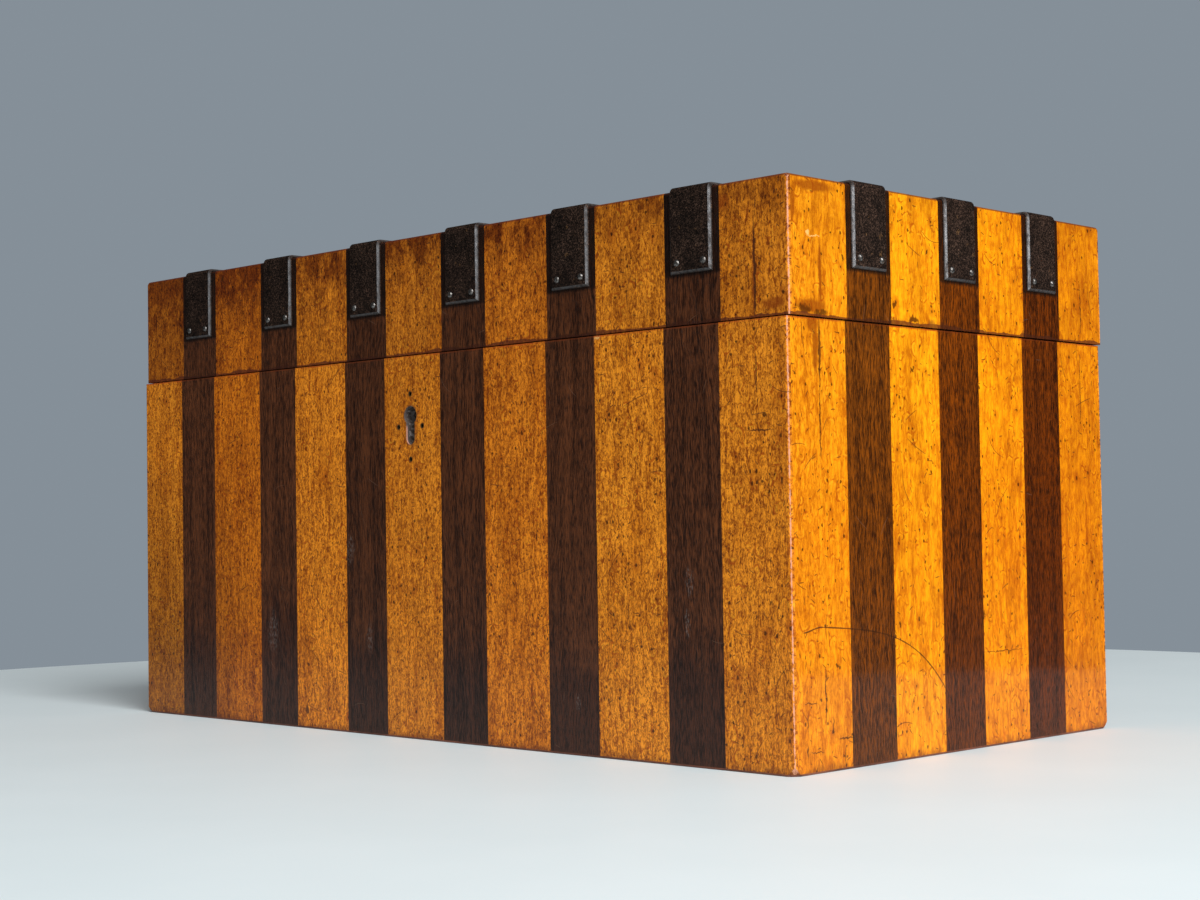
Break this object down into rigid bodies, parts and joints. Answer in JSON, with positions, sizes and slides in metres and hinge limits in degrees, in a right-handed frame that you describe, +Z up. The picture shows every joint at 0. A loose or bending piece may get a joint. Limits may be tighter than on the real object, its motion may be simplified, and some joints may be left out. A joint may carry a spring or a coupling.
{
  "type": "ditty box",
  "caption": "Rectangular wooden keepsake box with a hinged lid, faced in alternating light and dark veneer strips, with iron straps over the lid edge and a box lock.",
  "frame": {"origin": "centre of the case's underside, on the surface it stands on", "axes": "+X along the length towards the right end, -Y out of the front with the keyhole, +Z up"},
  "size_m": [0.3084, 0.1602, 0.1597],
  "materials": {
    "birch_veneer": "old semi-gloss polish over figured birch",
    "rosewood_veneer": "old semi-gloss polish over dark rosewood",
    "carcase_wood": "plain planed wood",
    "base_mahogany": "worn thin mahogany facing",
    "strap_iron": "blackened pitted iron with burnished bevels",
    "nail_iron": "burnished iron",
    "screw_iron": "dull iron",
    "lock_iron": "worn grey iron",
    "brass": "aged brass",
    "spring_steel": "blued steel"
  },
  "bodies": {
    "case": {"front_board": "carcase_wood", "back_board": "carcase_wood", "left_end_board": "carcase_wood", "right_end_board": "carcase_wood", "bottom_board": "carcase_wood", "base_facing": "base_mahogany", "front_birch_strips": "birch_veneer", "front_rosewood_strips": "rosewood_veneer", "back_birch_strips": "birch_veneer", "back_rosewood_strips": "rosewood_veneer", "left_birch_strips": "birch_veneer", "left_rosewood_strips": "rosewood_veneer", "right_birch_strips": "birch_veneer", "right_rosewood_strips": "rosewood_veneer", "lock_plate": "lock_iron", "lock_tray": "lock_iron", "lock_spring": "spring_steel", "left_hinge_case_leaf": "brass", "right_hinge_case_leaf": "brass", "hinge_pins": "brass", "case_screws": "screw_iron"},
    "lid": {"lid_front_rail": "carcase_wood", "lid_back_rail": "carcase_wood", "lid_left_rail": "carcase_wood", "lid_right_rail": "carcase_wood", "lid_top_board": "carcase_wood", "lid_front_birch_strips": "birch_veneer", "lid_front_rosewood_strips": "rosewood_veneer", "lid_back_birch_strips": "birch_veneer", "lid_back_rosewood_strips": "rosewood_veneer", "lid_left_birch_strips": "birch_veneer", "lid_left_rosewood_strips": "rosewood_veneer", "lid_right_birch_strips": "birch_veneer", "lid_right_rosewood_strips": "rosewood_veneer", "lid_top_birch_strips": "birch_veneer", "lid_top_rosewood_strips": "rosewood_veneer", "front_strap_1": "strap_iron", "front_strap_2": "strap_iron", "front_strap_3": "strap_iron", "front_strap_4": "strap_iron", "front_strap_5": "strap_iron", "front_strap_6": "strap_iron", "back_strap_1": "strap_iron", "back_strap_2": "strap_iron", "back_strap_3": "strap_iron", "back_strap_4": "strap_iron", "back_strap_5": "strap_iron", "back_strap_6": "strap_iron", "left_strap_1": "strap_iron", "left_strap_2": "strap_iron", "left_strap_3": "strap_iron", "right_strap_1": "strap_iron", "right_strap_2": "strap_iron", "right_strap_3": "strap_iron", "strap_nails": "nail_iron", "left_hinge_lid_leaf": "brass", "right_hinge_lid_leaf": "brass", "lid_screws": "screw_iron", "link_plate": "lock_iron"},
    "bolt": {"lock_bolt": "lock_iron"}
  },
  "joints": [
    {"name": "lid_hinge", "type": "hinge", "parent": "case", "child": "lid", "pos_m": [0, 0.0791, 0.1205], "axis": [-1, 0, 0], "range_deg": [0, 100]},
    {"name": "bolt_slide", "type": "slide", "parent": "case", "child": "bolt", "axis": [1, 0, 0], "range_m": [0, 0.004]}
  ]
}
